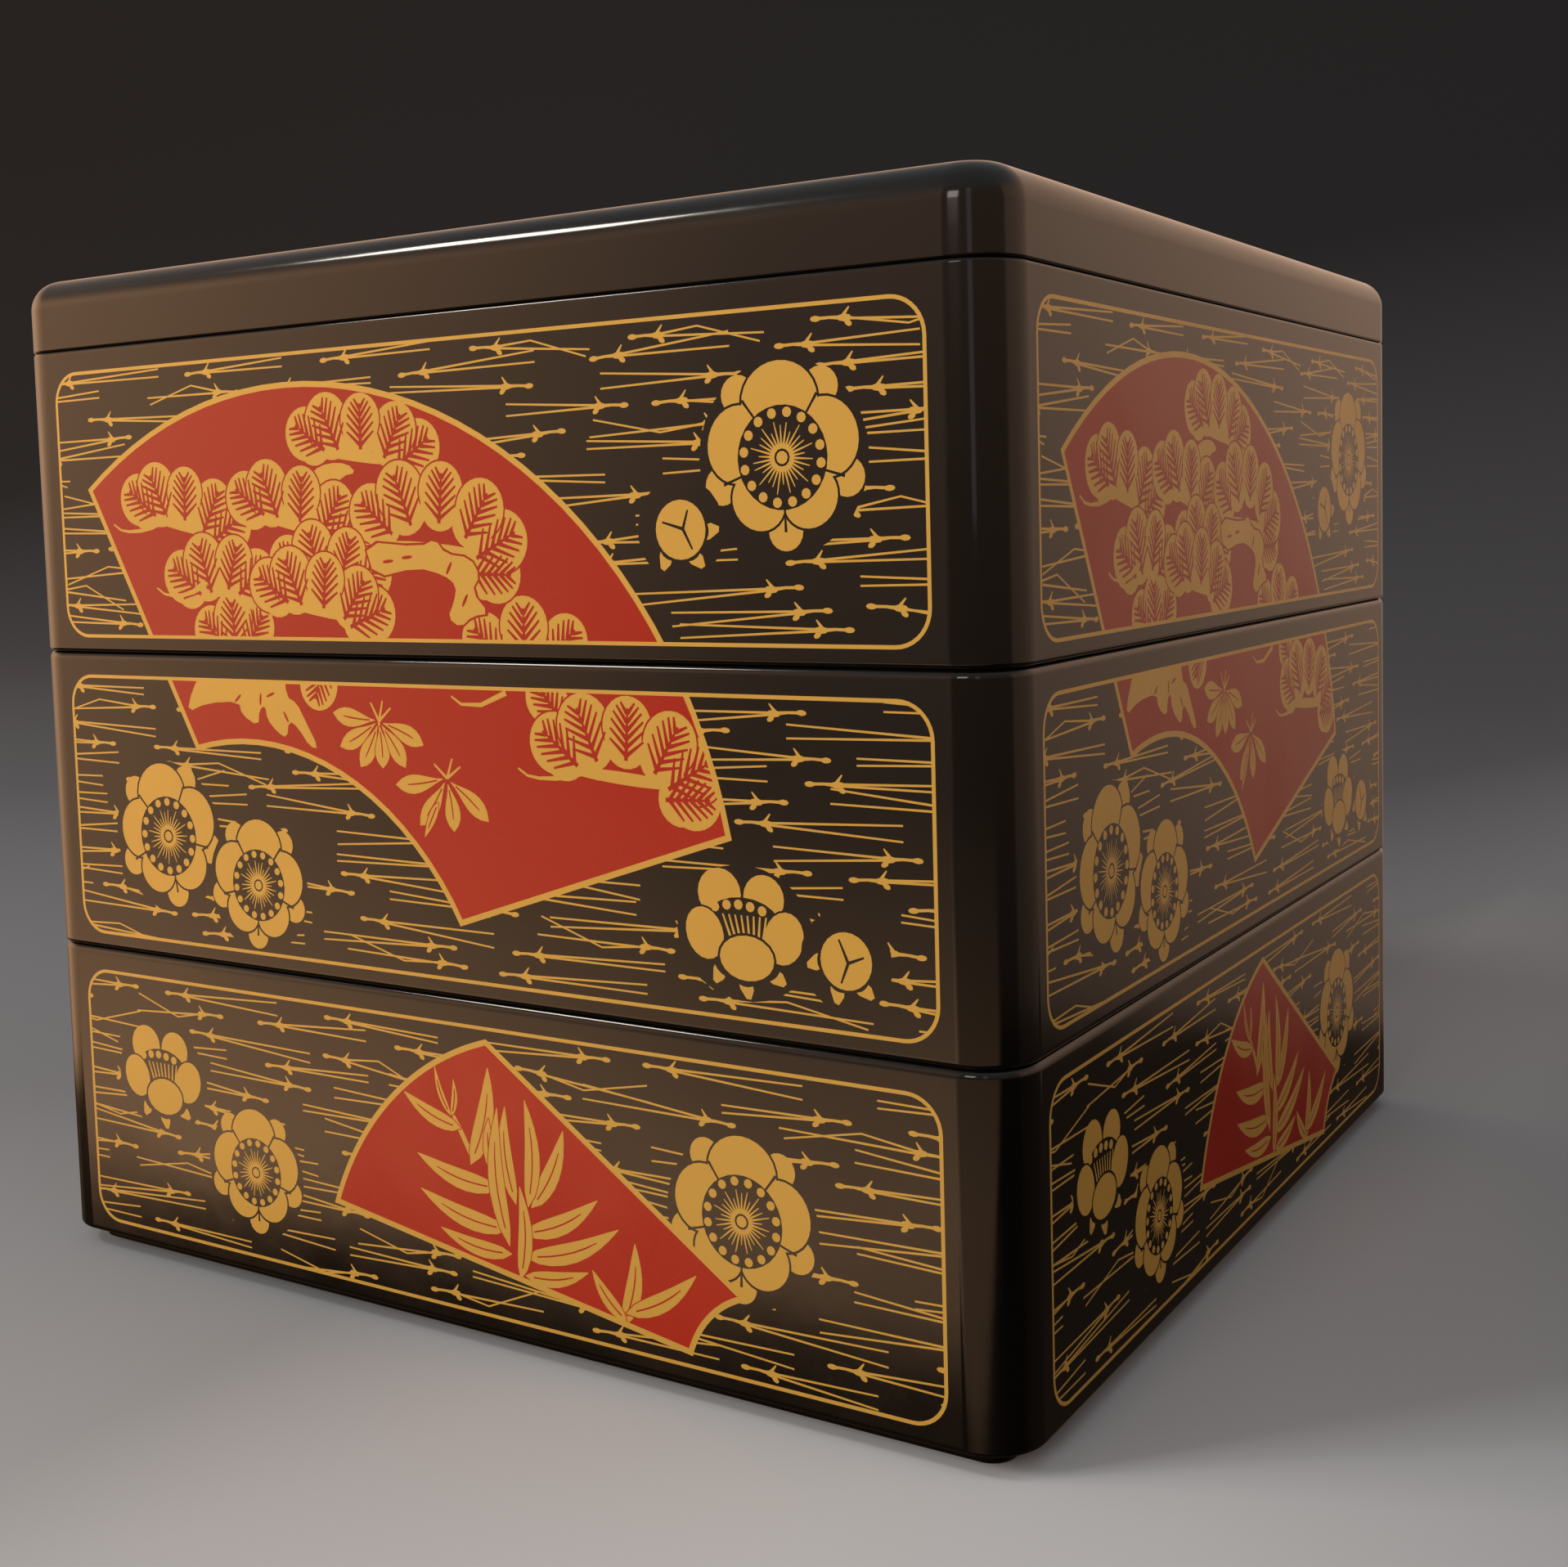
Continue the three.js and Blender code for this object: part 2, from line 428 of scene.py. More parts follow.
def sideBlossom(picture, centre, size):
    def at(across, up):
        return (centre[0] + across * size, centre[1] + up * size)

    lay(picture, oval(at(-0.3, -0.6), 11.6 * size, 9.9 * size, 0, 30), black)
    for across, up, radius in ((-4.4, 4.9, 3.7), (3.1, 4.7, 3.4)):
        lay(picture, disc(at(across, up), radius * size), gold)
    lay(picture, oval(at(-0.5, 0.9), 6.3 * size, 3.7 * size, 0), black)
    for across, up, turn in ((-7.1, -1.1, 110), (6.3, -0.8, 70)):
        lay(picture, oval(at(across, up), 4.2 * size, 3.5 * size, turn), black)
        lay(picture, oval(at(across, up), 3.9 * size, 3.2 * size, turn), gold)
    for i in range(5):
        lay(picture, disc(at(-5.2 + 2 * i, 2.9 + 0.6 * math.sin(i * 0.8)), 0.75 * size, 9), gold)
    for i in range(8):
        ends = [at(-2.7 + 0.8 * i, -1.2), at(-3.9 + 1.05 * i, 2.0)]
        lay(picture, brush(ends, [0.42 * size, 0.26 * size]), gold)
    lay(picture, oval(at(0, -4.2), 5 * size, 3.7 * size, 0), black)
    lay(picture, oval(at(0, -4.2), 4.6 * size, 3.3 * size, 0), gold)
    for angle in (-132, -92, -48):
        sepal(picture, at(0, -1.2), 7 * size, angle, 2.6 * size)


def plumBud(picture, centre, radius, turn):
    lay(picture, disc(centre, radius + 3.2, 24), black)
    for angle in (-125, -60, -5):
        sepal(picture, centre, radius + 0.4, angle + turn, 2.6)
    lay(picture, disc(centre, radius, 24), gold)
    hub = turned(turn + 15, radius * 0.1, centre)
    for angle, reach in ((65, 0.72), (160, 0.78), (-55, 0.8)):
        lay(picture, brush([hub, turned(angle + turn, radius * reach, centre)], [0.5, 0.3]), black)


tuftShape = {"size": 1.07, "stretch": 1.03, "lean": 0.8, "pairs": 6, "stroke": 0.7, "tip": 0.34,
             "outline": 0.3, "skirt": 0.9}


def pineCushion(picture, centre, radius, heading):
    long = radius * tuftShape["stretch"]
    lay(picture, oval(centre, long + tuftShape["outline"], radius + tuftShape["outline"], heading, 26), red)
    lay(picture, oval(centre, long, radius, heading, 26), gold)
    lay(picture, disc(turned(heading, -0.5 * long, centre), tuftShape["skirt"] * radius, 22), gold)


def pineNeedles(picture, centre, radius, heading):
    long, stroke = radius * tuftShape["stretch"], tuftShape["stroke"]
    stalk = [turned(heading, -1.1 * long, centre), turned(heading, 0.6 * long, centre)]
    lay(picture, brush(stalk, [stroke, tuftShape["tip"]]), red)
    for i in range(tuftShape["pairs"]):
        share = i / (tuftShape["pairs"] - 1)
        root = turned(heading, (-0.95 + 1.35 * share) * long, centre)
        for side in (1, -1):
            angle = heading + side * (52 - 16 * share)
            reach = radius * (0.7 + 0.24 * math.sin(math.pi * (0.25 + 0.6 * share)) - 0.32 * share ** 3)
            ends = [turned(angle, 0.1, root), turned(angle, reach, root)]
            lay(picture, brush(ends, [stroke, tuftShape["tip"]]), red)


def pineBough(picture, base, reach, first, last, tufts, droop, size, twig=0):
    crown = [(base[0] + t * reach[0], base[1] - 0.8 - droop * t * reach[0])
             for t in (-0.8, -0.2, 0.35, 0.85)]
    lay(picture, brush(softened(crown, closed=False), [0.5, 1.1, 1.7, 1.9, 1.9, 1.6, 1.0, 0.5]), gold)
    cushions = []
    for i in sorted(range(tufts), key=lambda i: -abs(i - (tufts - 1) / 2)):
        angle = first + (last - first) * i / (tufts - 1)
        across = reach[0] * math.cos(math.radians(angle))
        centre = (base[0] + across, base[1] + reach[1] * math.sin(math.radians(angle)) - droop * across)
        breadth = size * tuftShape["size"] * (1 + 0.06 * math.sin(i * 2.1))
        cushions.append((centre, breadth, 90 + tuftShape["lean"] * (angle - 90)))
    for cushion in cushions:
        pineCushion(picture, *cushion)
    for cushion in cushions:
        pineNeedles(picture, *cushion)
    if twig:
        end = base[0] - reach[0]
        sweep = [(base[0] - reach[0] * 0.35, base[1] + 0.6), (base[0] - reach[0] * 0.8, base[1] - 1.4),
                 (end - twig * 0.6, base[1] - 1.6), (end - twig, base[1] - 0.2)]
        lay(picture, brush(softened(sweep, closed=False), [1.4, 1.2, 0.9, 0.7, 0.5, 0.4, 0.35, 0.3]), gold)


def leaf(picture, base, tip, breadth, bow=0.0, blunt=0.75):
    outline, spine = leafShape(base, tip, breadth, bow, blunt)
    lay(picture, shrunk(outline, -0.16), red)
    lay(picture, outline, gold)
    lay(picture, brush(spine[1:-2], [0.26] * (len(spine) - 4) + [0.16]), red)


def bambooSpray(picture, centre, first, last, leaves, length, twigs):
    for angle in twigs:
        lay(picture, brush([centre, turned(angle, 3.4, centre)], [0.5, 0.3]), gold)
    for i in range(leaves):
        angle = first + (last - first) * i / (leaves - 1)
        reach = length * (0.78 + 0.27 * abs(math.cos(math.radians(angle))))
        leaf(picture, turned(angle, 0.9, centre), turned(angle, reach, centre), 3.1, 0.03, 1.5)


def fanPanel(picture, outline, line=0.95):
    lay(picture, outline, gold)
    lay(picture, shrunk(outline, line), red)
    picture["within"] = len(picture["shapes"]) - 1  # what follows is cut off at the fan's edge


def fanOutline(outer, inner, corners):
    # outer and inner are (centre, radius); corners run from the outer arc's start, round the fan
    def bearing(point, centre):
        return math.degrees(math.atan2(point[1] - centre[1], point[0] - centre[0]))

    first, last, innerFirst, innerLast = corners
    rim = arc(outer[0], outer[1], bearing(first, outer[0]), bearing(last, outer[0]), 36)
    return rim + arc(inner[0], inner[1], bearing(innerFirst, inner[0]), bearing(innerLast, inner[0]), 18)


# the great fan lies over the top and middle tiers, so its heights count from the table
greatFan = fanOutline(((68.2, 69.6), 85.8), ((55.8, 44.0), 51.4),
                      [(18.3, 139.4), (153.4, 85.6), (101.4, 68.5), (43, 93.8)])
smallFan = fanOutline(((120.1, -2.5), 52.4), ((157.7, 0.3), 15.3),
                      [(105.3, 47.6), (71, 15.7), (143, 4.5), (153.4, 14.2)])


def lowered(outline, level):
    return [(x, y - level) for x, y in outline]


def paintTop(picture):
    outline = lowered(greatFan, picture["base"])
    picture["covers"].append(outline)
    strewNeedles(picture, 3)
    plumBlossom(picture, (162.6, 28.9), 13.2, 92)
    plumBud(picture, (145.3, 19.3), 4.3, 0)
    fanPanel(picture, outline)
    trunk = [(84, 18.6), (96, 17.6), (99, 18.8), (101, 16.4), (106, 15.8), (107.8, 13), (106, 10.6),
             (109.4, 7.2), (106, 6.8), (103.5, 5), (101, 6.5), (102.4, 9), (103, 11.5), (100.5, 13.2),
             (95, 14.4), (86, 12.8)]
    boughs = [((84, 33), (12.6, 5), 160, 18, 5, 0.13, 4.1),
              ((42.5, 22.8), (11.8, 5), 160, 15, 5, 0.2, 4.2, 6),
              ((54, 1.2), (7, 5), 145, 45, 3, 0, 4.0),
              ((116, 1), (9, 4.2), 150, 30, 3, 0, 4.1),
              ((69, 22.4), (12, 4.8), 160, 5, 5, 0.2, 4.2),
              ((98.5, 18), (14, 8.5), 153, -25, 6, 0.1, 4.4),
              ((50.5, 11.6), (9.5, 4.5), 158, 22, 4, 0, 4.3, 6),
              ((76, 12.6), (9.8, 5), 155, 20, 4, 0.1, 4.1),
              ((73.5, 8.4), (11.8, 4.6), 160, 5, 5, 0.16, 4.2)]
    stub = [(71, 27.6), (73.6, 30.4), (77, 31.4), (81, 31.2), (83, 29.6), (80, 29.2), (78, 27.2), (74, 27.2)]
    lay(picture, softened(stub), gold)
    for bough in boughs:
        pineBough(picture, *bough)
    lay(picture, softened(shrunk(trunk, -0.35)), red)
    lay(picture, softened(trunk), gold)
    for knot in ((101.6, 14.2), (104.6, 9.2), (93, 16), (89, 15.4)):
        lay(picture, oval(knot, 1.2, 0.3, 60 if knot[0] > 100 else 5, 8), red)


def paintMiddle(picture):
    outline = lowered(greatFan, picture["base"])
    picture["covers"].append(outline)
    strewNeedles(picture, 8)
    plumBlossom(picture, (34.6, 21.6), 12.8, 100)
    plumBlossom(picture, (56.4, 14.6), 11.2, 86)
    sideBlossom(picture, (154.5, 16), 1.0)
    plumBud(picture, (170.8, 13), 4.1, -50)
    fanPanel(picture, outline)
    roots = [(41, 43.6), (42.4, 47.4), (46, 52), (65, 52), (65, 47), (67.4, 46), (69, 43.4), (72, 38.6),
             (70, 38.8), (67.4, 42), (65.4, 43), (64.8, 40), (62.6, 41), (60.4, 43), (60, 45.4),
             (58.6, 44.6), (58.2, 41.8), (54.4, 43.6), (53.8, 45.9), (46, 45.4)]
    lay(picture, softened(roots), gold)
    for mark, turn in (((53.6, 46.4), 40), ((59, 46.4), 85), ((61.4, 47.2), 20), ((64.8, 43.6), 120)):
        lay(picture, oval(mark, 1.1, 0.26, turn, 8), red)
    for cushion in (((72.6, 49.2), 4.2, 250), ((119.8, 48.2), 3.9, 130)):
        pineCushion(picture, *cushion)
        pineNeedles(picture, *cushion)
    lay(picture, brush([(112, 48.8), (107, 46.8), (103, 46.8), (101, 48)], [0.9, 0.7, 0.45, 0.3]), gold)
    pineBough(picture, (133.5, 37.5), (13.6, 7), 155, -20, 6, 0.08, 4.4, 6)
    bambooSpray(picture, (85.6, 43.6), 174, 339, 6, 9.6, (120, 75, 40, -92))
    bambooSpray(picture, (99.5, 35), 188, 322, 4, 10.4, (140, 70, 35))
    leaf(picture, (97.4, 31), (94.4, 25.4), 1.5)


# bamboo grass leaves: where each springs from, its tip and its breadth
grassLeaves = [(106.6, 24, 90, 27.2, 3.4), (108.4, 17.6, 90.4, 21.4, 3.4), (109, 13.8, 94.4, 15.6, 2.8),
               (101.2, 27, 105.4, 43.2, 3.6), (106, 26, 105.2, 35, 2.2), (113.3, 22, 120, 35.2, 3.2),
               (111.6, 17.6, 126.2, 25.3, 3.2), (111.6, 13.8, 130, 21.4, 3.3), (111.6, 10.8, 124, 13.6, 2.6),
               (112.6, 22, 112.6, 39, 3.0), (110.2, 22, 108.6, 37.4, 2.8), (108.6, 15, 107, 37, 3.2),
               (110.6, 10, 111, 25, 2.8), (130.4, 6.6, 133, 19.8, 3.0), (131, 8.6, 144, 16.9, 3.0),
               (131, 7.4, 124.8, 14.2, 2.4), (99.4, 32.6, 87.6, 37, 2.8), (97.4, 34.4, 94.4, 42, 1.2),
               (97.6, 34.4, 98.2, 40.4, 1.2)]


def paintBottom(picture):
    picture["covers"].append(smallFan)
    strewNeedles(picture, 5)
    plumBlossom(picture, (152.3, 26.6), 12.6, 88)
    plumBlossom(picture, (52.4, 17.8), 11, 92)
    sideBlossom(picture, (30.2, 32.2), 0.98)
    fanPanel(picture, smallFan)
    lay(picture, brush([(102, 27.6), (99, 32.8), (97.6, 35)], [1.0, 0.9, 0.5]), gold)
    for baseU, baseV, tipU, tipV, breadth in grassLeaves:
        bow = 0.07 if tipU < baseU else -0.07
        leaf(picture, (baseU, baseV), (tipU, tipV), breadth, bow)


def paintLidTop(picture):
    plumBlossom(picture, (126, 62), 15, 80)
    plumBlossom(picture, (99, 50), 12.5, 104)
    plumBud(picture, (147, 45), 5.2, 10)
    for head, facing, tilt, kink in (((60, 61), 1, 2, 0), ((92, 71), -1, 4, 0), ((56, 42), 1, -3, 1.3),
                                     ((146, 74), 1, 3, 0), ((120, 37), 1, -2, 0), ((76, 52), -1, 1, 0)):
        needlePair(picture, head, needleShape["length"], facing, tilt, needleShape["spread"], kink)


mergeWithin = 0.001  # millimetres


def cellColour(picture, sources):
    # 0 is the flat itself, 1 and 2 are the frame line's outer and inner edges, the picture's shapes follow
    if 2 not in sources:
        return gold if 1 in sources else black
    for index in sorted((i - 3 for i in sources if i > 2), reverse=True):
        _, colour, within = picture["shapes"][index]
        if within is None or within + 3 in sources:
            return colour
    return black


def paintFlat(piece, side, picture):
    out, across, up = (Vector(axis) for axis in sides[side])
    base = picture["base"]
    work = bmesh.new()
    work.from_mesh(piece.data)
    facing = [face for face in work.faces if face.normal.dot(out) > 0.999]
    flat = max(facing, key=lambda face: face.calc_area())
    rim = list(flat.verts)
    depth = rim[0].co.dot(out)
    spots = [Vector((v.co.dot(across) / mm + half, v.co.dot(up) / mm - base)) for v in rim]
    shapes = [list(range(len(rim)))]
    for points in [picture["outer"], picture["inner"]] + [shape[0] for shape in picture["shapes"]]:
        shapes.append(list(range(len(spots), len(spots) + len(points))))
        spots += [Vector(point) for point in points]
    found, _, cells, fromSpots, _, fromShapes = delaunay_2d_cdt(spots, [], shapes, 1, mergeWithin, True)
    corners = []
    for point, sources in zip(found, fromSpots):
        shared = [i for i in sources if i < len(rim)]
        place = out * depth + across * ((point.x - half) * mm) + up * ((point.y + base) * mm)
        corners.append(rim[shared[0]] if shared else work.verts.new(place))
    for cell, sources in zip(cells, fromShapes):
        face = work.faces.new([corners[i] for i in cell])
        face.material_index = cellColour(picture, set(sources))
        face.smooth = False
    work.faces.remove(flat)
    work.to_mesh(piece.data)
    work.free()
    return len(cells)


# tiers

tierShape = {"wall": 4, "footHeight": 3, "footInset": 4.5, "footWidth": 4, "footRound": 0.5, "recess": 2,
             "floorTop": 5.5, "floorFillet": 3, "rimOutside": 1.25, "rimUnderLid": 0.7, "rimInside": 0.75,
             "lowerRound": 0.75}


def makeTier(node, paint, rimOutside):
    shape = tierShape
    low, high = (corner[2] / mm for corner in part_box(node))
    shoulder, floor = low + shape["footHeight"], low + shape["floorTop"]
    piece = startBlock("lacquered_" + node, shoulder, high)
    pickFlat(1, high)
    step(shape["wall"], floor - high)  # hollow
    pickFlat(-1, shoulder)
    step(shape["footInset"], -shape["footHeight"])  # standing foot
    step(shape["footWidth"], shape["recess"])
    for height, inset, radius, segments in (
            (high, 0, rimOutside, 6), (high, shape["wall"], shape["rimInside"], 4),
            (floor, shape["wall"], shape["floorFillet"], 7), (shoulder, 0, shape["lowerRound"], 5),
            (low, shape["footInset"], shape["footRound"], 3)):
        pickRing(height, inset)
        roundPicked(radius, segments)
    wallEnd = high - shape["rimInside"]
    lacquerInside(piece, lambda face: floor - 0.1 < face.calc_center_median().z / mm < wallEnd
                  and insetOf(face.calc_center_median()) > shape["wall"] - 0.1)
    sideArea = width * (high - shoulder) * mm * mm
    finishBody(lambda face: abs(face.normal.z) < 0.01 and face.calc_area() > 0.5 * sideArea
               and insetOf(face.calc_center_median()) < 0.1)
    picture = newPicture(frameLine["low"], frameLine["high"], frameLine["corner"], shoulder)
    paint(picture)
    for side in ("front", "right", "back", "left"):
        cells = paintFlat(piece, side, picture)
    evenNormals(piece)
    print(node, "made, a side's picture has", cells, "cells")
    return piece


# lid

lidShape = {"lipInset": 4.5, "lipDrop": 3, "lipWidth": 2, "lipRound": 0.5, "plate": 4, "topRound": 5.5,
            "fillet": 2.5, "lowerRound": 0.4, "frameInset": 15, "frameCorner": 9}


def makeLid():
    shape = lidShape
    low, high = (corner[2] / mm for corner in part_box("lid"))
    wallLow, ceiling = low + shape["lipDrop"], high - shape["plate"]
    piece = startBlock("lacquered_lid", wallLow, high)
    pickFlat(-1, wallLow)
    step(shape["lipInset"], -shape["lipDrop"])  # lip that drops inside the top tier's rim
    step(shape["lipWidth"], ceiling - low)
    innerInset = shape["lipInset"] + shape["lipWidth"]
    for height, inset, radius, segments in (
            (high, 0, shape["topRound"], 14), (wallLow, 0, shape["lowerRound"], 5),
            (low, shape["lipInset"], shape["lipRound"], 3), (ceiling, innerInset, shape["fillet"], 6)):
        pickRing(height, inset)
        roundPicked(radius, segments)
    lacquerInside(piece, lambda face: face.calc_center_median().z / mm < ceiling + 0.1
                  and insetOf(face.calc_center_median()) > innerInset - 0.1)
    finishBody(lambda face: face.normal.z > 0.99 and face.calc_area() > 0.3 * (width * mm) ** 2)
    edge = shape["frameInset"]
    picture = newPicture((edge, edge), (width - edge, width - edge), shape["frameCorner"], -half)
    paintLidTop(picture)
    paintFlat(piece, "top", picture)
    evenNormals(piece)
    print("lid made")
    return piece


pieces = {"bottom_tier": makeTier("bottom_tier", paintBottom, tierShape["rimOutside"]),
          "middle_tier": makeTier("middle_tier", paintMiddle, tierShape["rimOutside"]),
          "top_tier": makeTier("top_tier", paintTop, tierShape["rimUnderLid"]),  # a finer joint
          "lid": makeLid()}
for node, piece in pieces.items():
    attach(piece, "root")
    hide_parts(node)


# floor with a raised back whose colour carries painted shade, lights and camera

# the paper's tones are painted shade: darker to the back, up the raised back, to the left and away from the
# middle, standing in for the light's falloff
stageShape = {"size": 5.0, "backAt": 1.7, "backHeight": 2.2, "backRound": 0.8,
              "rise": 2.5, "leftPaintedShade": 0.35, "span": (-0.3, 3.0),
              "mostLightAt": 0.1, "sideReach": (0.02, 0.13), "sidePaintedShade": 0.33}
bpy.ops.object.select_all(action="DESELECT")
middle = stageShape["backAt"] - stageShape["size"] / 2
bpy.ops.mesh.primitive_plane_add(size=stageShape["size"], location=(0, middle, 0))
floor = bpy.context.object
floor.name = "floor"
bpy.ops.object.transform_apply(location=True, rotation=True, scale=True)
bpy.ops.object.mode_set(mode="EDIT")
pick("EDGE", lambda edge: all(v.co.y > stageShape["backAt"] - 0.01 for v in edge.verts))
bpy.ops.mesh.extrude_region_move(TRANSFORM_OT_translate={"value": (0, 0, stageShape["backHeight"])})
pick("EDGE", lambda edge: all(v.co.y > stageShape["backAt"] - 0.01 and v.co.z < 0.01 for v in edge.verts))
bpy.ops.mesh.bevel(offset=stageShape["backRound"], segments=16, affect="EDGES")
bpy.ops.object.mode_set(mode="OBJECT")
bpy.ops.object.shade_smooth()
# painted shade: pale where the light falls fullest, darkening further back and higher up
paperShadeTones = [(0.0, "#dfe7f0"), (0.11, "#c0c8d1"), (0.2, "#838a93"), (0.36, "#5f666f"), (1.0, "#272b30")]
paper = bpy.data.materials.new("paperPaintedShade")  # matt paper, pale in front and darkening to the back
paper.use_nodes = True
paperTree = paper.node_tree
paperTree.nodes.clear()
spot = addNode(paperTree, "ShaderNodeTexCoord", {}).outputs["Object"]
spotParts = addNode(paperTree, "ShaderNodeSeparateXYZ", {}, [("Vector", spot)]).outputs
along = addNode(paperTree, "ShaderNodeMath", {"operation": "MULTIPLY_ADD", 1: stageShape["rise"]}, [
    (0, spotParts["Z"]), (2, spotParts["Y"])])
# painted shade: darker towards the left
leftwards = addNode(paperTree, "ShaderNodeMath", {"operation": "MINIMUM", 1: 0.0}, [(0, spotParts["X"])])
shadedLeftwards = addNode(paperTree, "ShaderNodeMath", {"operation": "MULTIPLY_ADD", 1: -stageShape["leftPaintedShade"]}, [
    (0, leftwards.outputs[0]), (2, along.outputs[0])])
# painted shade: darker sideways, away from where the light is brightest
aside = addNode(paperTree, "ShaderNodeMath", {"operation": "SUBTRACT", 1: stageShape["mostLightAt"]}, [
    (0, spotParts["X"])])
offMostLight = addNode(paperTree, "ShaderNodeMath", {"operation": "ABSOLUTE"}, [(0, aside.outputs[0])])
sideways = addNode(paperTree, "ShaderNodeMapRange", {
    "From Min": stageShape["sideReach"][0], "From Max": stageShape["sideReach"][1],
    "To Max": stageShape["sidePaintedShade"]}, [("Value", offMostLight.outputs[0])])
graded = addNode(paperTree, "ShaderNodeMath", {"operation": "ADD"}, [
    (0, shadedLeftwards.outputs[0]), (1, sideways.outputs["Result"])])
reach = addNode(paperTree, "ShaderNodeMapRange", {
    "From Min": stageShape["span"][0], "From Max": stageShape["span"][1]}, [("Value", graded.outputs[0])])
tones = addNode(paperTree, "ShaderNodeValToRGB", {}, [("Fac", reach.outputs["Result"])])
for _ in paperShadeTones[2:]:
    tones.color_ramp.elements.new(0.5)
for stop, (share, tone) in zip(tones.color_ramp.elements, paperShadeTones):
    stop.position = share
    stop.color = toLinear(tone)
fibres = addNode(paperTree, "ShaderNodeTexNoise", {"Scale": 1 / (0.6 * mm)}, [("Vector", spot)])
fuzz = addNode(paperTree, "ShaderNodeBump", {"Strength": 0.2, "Distance": 0.02 * mm}, [
    ("Height", fibres.outputs["Fac"])])
paperShader = addNode(paperTree, "ShaderNodeBsdfPrincipled", {"Roughness": 0.9, "Specular IOR Level": 0.2}, [
    ("Base Color", tones.outputs["Color"]), ("Normal", fuzz.outputs["Normal"])])
addNode(paperTree, "ShaderNodeOutputMaterial", {}, [("Surface", paperShader.outputs["BSDF"])])
floor.data.materials.append(paper)
floor.visible_glossy = False  # the lacquer mirrors the dim room, not the paper

roomLight = {"walls": "#ffd3b4", "glow": "#ffc18a", "table": "#ffc896", "ceiling": "#9c9b9b",
             "towardsGlow": (-0.94, -0.342, 0), "towardsFront": (0, -1, 0),
             "towardsDoorway": (0.574, -0.819, 0), "edgeDip": 0.38, "edgeLevel": 0.19}
roomShares = {  # what each goes by, from where to where, and how much shows at either end
    "walls": ("height", (-0.25, 0.2), (0.24, 0.8), "LINEAR"),
    "glow": ("towardsGlow", (0.79, 0.965), (0.0, 1.5), "LINEAR"),
    "belowGlowTop": ("height", (0.25, 0.6), (1.0, 0.0), "SMOOTHSTEP"),
    "table": ("height", (-0.36, -0.15), (1.5, 0.0), "LINEAR"),
    "tableBreadth": ("towardsFront", (0.5, 0.65), (0.0, 1.0), "SMOOTHSTEP"),
    "onTable": ("aboveEdge", (-0.083, -0.053), (0.0, 1.0), "SMOOTHSTEP"),
    "offTable": ("towardsFront", (-0.4, 0.2), (0.17, 0.02), "SMOOTHSTEP"),
    "besideDoorway": ("towardsDoorway", (0.46, 0.58), (1.0, 0.42), "SMOOTHSTEP"),
    "ceiling": ("height", (0.35, 0.8), (0.0, 1.0), "SMOOTHSTEP")}
room = bpy.data.worlds.new("room")  # brown walls, a glow at front left, a lit table, dark below and right
scene.world = room
room.use_nodes = True
roomTree = room.node_tree
roomTree.nodes.clear()
heading = addNode(roomTree, "ShaderNodeTexCoord", {}).outputs["Generated"]
height = addNode(roomTree, "ShaderNodeSeparateXYZ", {}, [("Vector", heading)]).outputs["Z"]
flat = addNode(roomTree, "ShaderNodeVectorMath", {"operation": "MULTIPLY", 1: (1, 1, 0)}, [(0, heading)])
level = addNode(roomTree, "ShaderNodeVectorMath", {"operation": "NORMALIZE"}, [(0, flat.outputs["Vector"])])
bearings = {"height": height}
for name in ("towardsGlow", "towardsFront", "towardsDoorway"):
    bearings[name] = addNode(roomTree, "ShaderNodeVectorMath", {
        "operation": "DOT_PRODUCT", 1: roomLight[name]}, [(0, level.outputs["Vector"])]).outputs["Value"]
# the table's edge dips towards the front and is level elsewhere
edgeFall = addNode(roomTree, "ShaderNodeMath", {"operation": "MULTIPLY", 1: roomLight["edgeDip"]}, [
    (0, bearings["towardsFront"])])
edgeDrop = addNode(roomTree, "ShaderNodeMath", {"operation": "MAXIMUM", 1: roomLight["edgeLevel"]}, [
    (0, edgeFall.outputs[0])])
bearings["aboveEdge"] = addNode(roomTree, "ShaderNodeMath", {"operation": "ADD"}, [
    (0, edgeDrop.outputs[0]), (1, height)]).outputs[0]
shares = {}
for name, (bearing, reach, strength, ease) in roomShares.items():
    shares[name] = addNode(roomTree, "ShaderNodeMapRange", {
        "interpolation_type": ease, "From Min": reach[0], "From Max": reach[1],
        "To Min": strength[0], "To Max": strength[1]}, [("Value", bearings[bearing])]).outputs["Result"]
for name, limit in (("glow", "belowGlowTop"), ("table", "tableBreadth")):
    shares[name] = addNode(roomTree, "ShaderNodeMath", {"operation": "MULTIPLY"}, [
        (0, shares[name]), (1, shares[limit])]).outputs[0]
light = None
for name in ("walls", "glow", "table"):
    light = addNode(roomTree, "ShaderNodeVectorMath", {
        "operation": "MULTIPLY_ADD", 0: toLinear(roomLight[name])[:3]}, [
        (1, shares[name])] + ([(2, light)] if light else [])).outputs["Vector"]
besideTable = addNode(roomTree, "ShaderNodeMath", {"operation": "MAXIMUM"}, [
    (0, shares["onTable"]), (1, shares["offTable"])])
seen = addNode(roomTree, "ShaderNodeMath", {"operation": "MULTIPLY"}, [
    (0, besideTable.outputs[0]), (1, shares["besideDoorway"])])
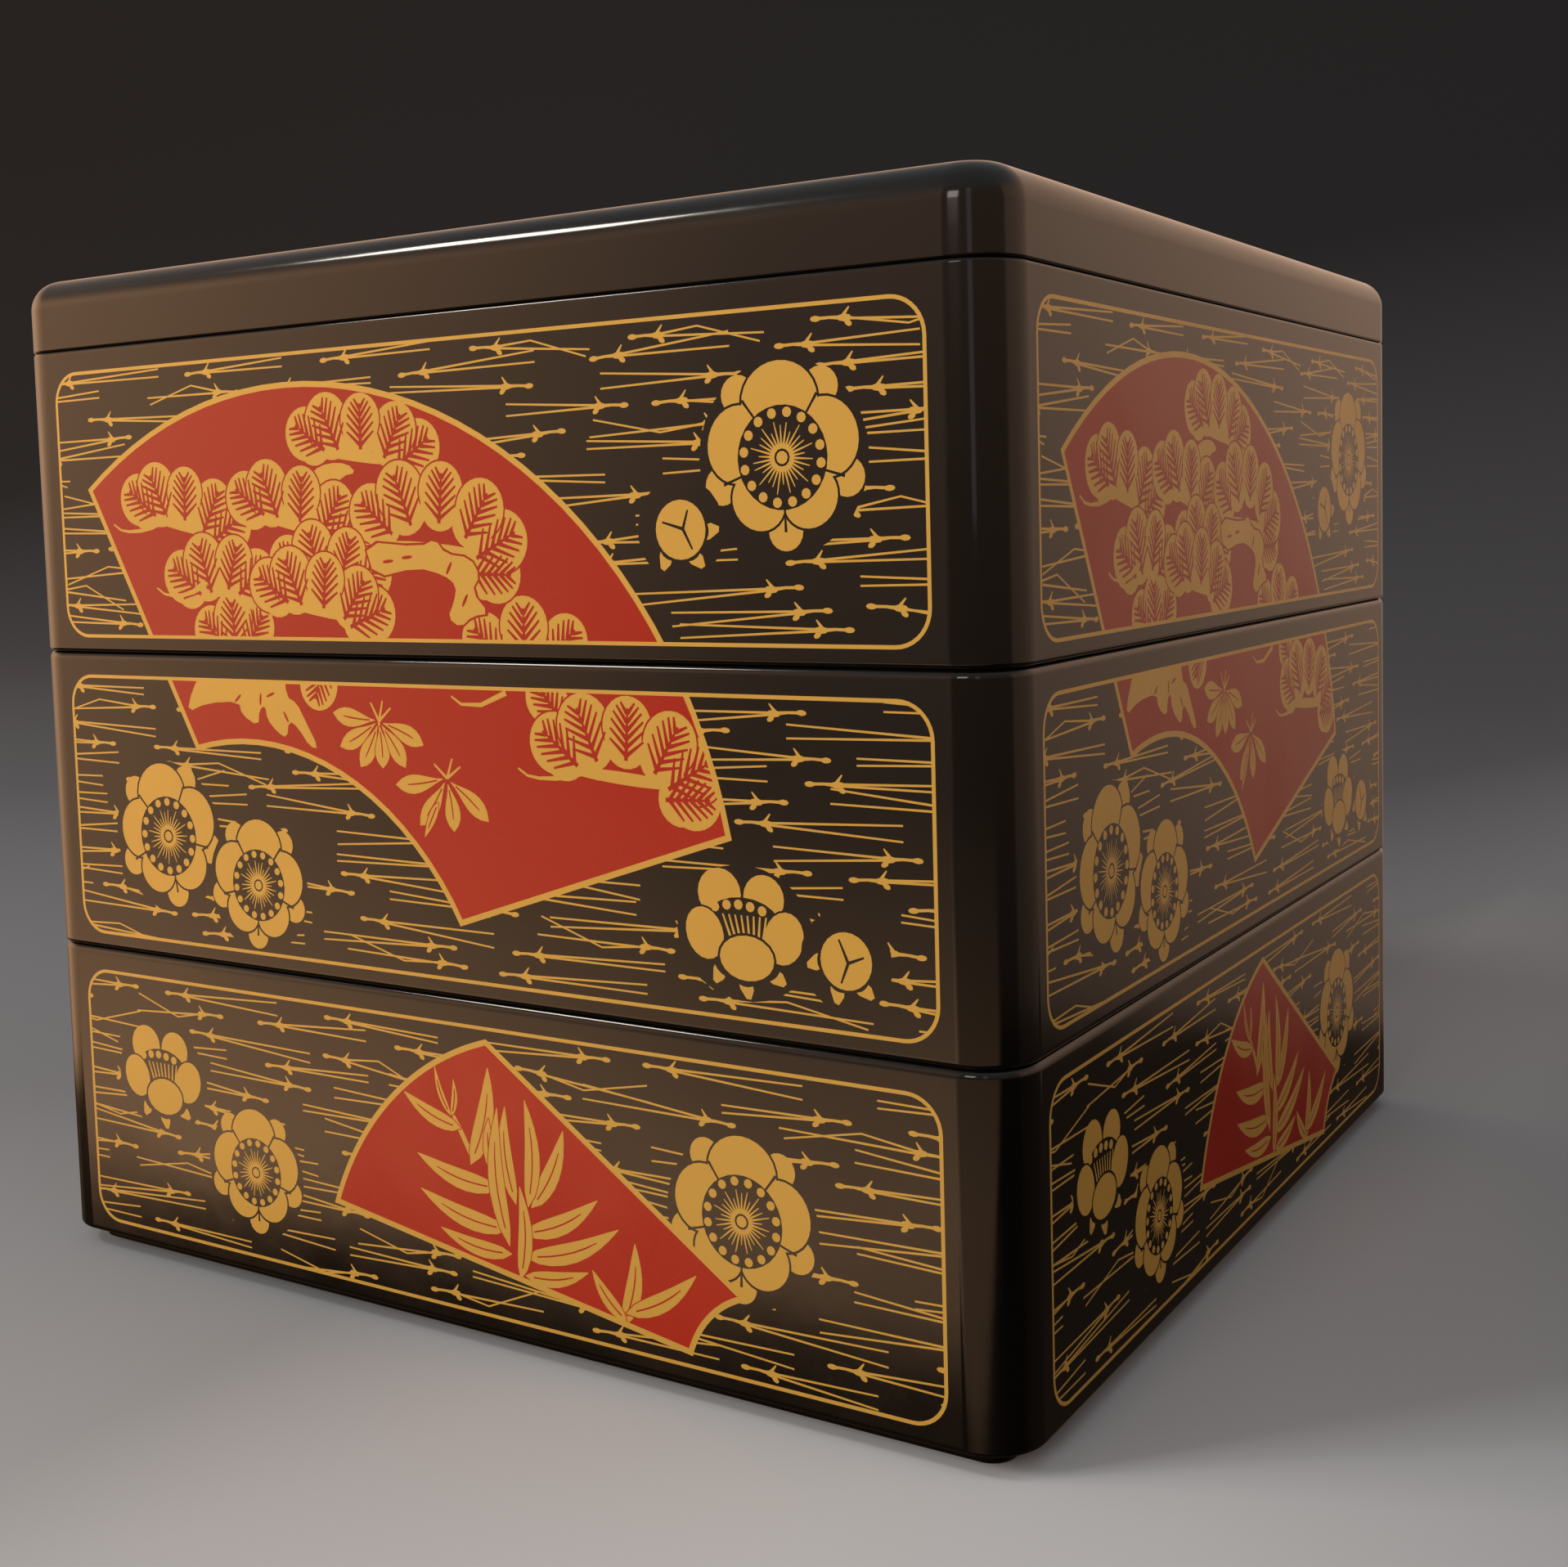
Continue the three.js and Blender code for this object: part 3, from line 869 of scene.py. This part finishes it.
shown = addNode(roomTree, "ShaderNodeVectorMath", {"operation": "SCALE"}, [
    (0, light), ("Scale", seen.outputs[0])])
walls = addNode(roomTree, "ShaderNodeMixRGB", {"Color2": toLinear(roomLight["ceiling"])}, [
    ("Fac", shares["ceiling"]), ("Color1", shown.outputs["Vector"])])
glow = addNode(roomTree, "ShaderNodeBackground", {}, [("Color", walls.outputs["Color"])])
addNode(roomTree, "ShaderNodeOutputWorld", {}, [("Surface", glow.outputs["Background"])])

lamps = {  # place, what it points at, breadth and height in metres, watts, colour
    "frontSoftbox": ((0, -3.0, 1.15), (0, 0, 0.08), 1.0, 0.9, 12.5, "#fffaf2"),
    "windowStrip": ((0.7, -1.3, 0.55), (0, 0, 0.1), 0.2, 0.9, 0.25, "#f0f2ff"),
    "ceilingLamp": ((-0.75, -0.58, 1.0), (0, 0, 0.17), 0.3, 0.14, 3.2, "#fff4e6"),
    "leftSoftbox": ((-1.9, -1.9, 1.2), (0, 0, 0.08), 0.7, 0.7, 30.5, "#fffaf2")}
for name, (place, target, breadth, tall, watts, colour) in lamps.items():
    bpy.ops.object.light_add(type="AREA", location=place)
    lamp = bpy.context.object
    lamp.name = name
    lamp.data.shape = "RECTANGLE"
    lamp.data.size = breadth
    lamp.data.size_y = tall
    lamp.data.energy = watts
    lamp.data.color = toLinear(colour)[:3]
    lamp.rotation_euler = (Vector(target) - Vector(place)).to_track_quat("-Z", "Y").to_euler()
    lamp.visible_glossy = name != "leftSoftbox"  # that one lights the paint and leaves no highlight

view = {"place": (0.2033, -0.3255, 0.1314), "turn": (85.602, 1.577, 32.0016), "lens": 44.198,
        "shift": (0.0139, -0.0760)}
bpy.ops.object.camera_add(location=view["place"], rotation=[math.radians(angle) for angle in view["turn"]])
camera = bpy.context.object
camera.data.lens = view["lens"]
camera.data.sensor_width = 36
camera.data.shift_x, camera.data.shift_y = view["shift"]
camera.data.clip_start = 0.01
scene.camera = camera
scene.view_settings.view_transform = "Standard"
print("stage set")
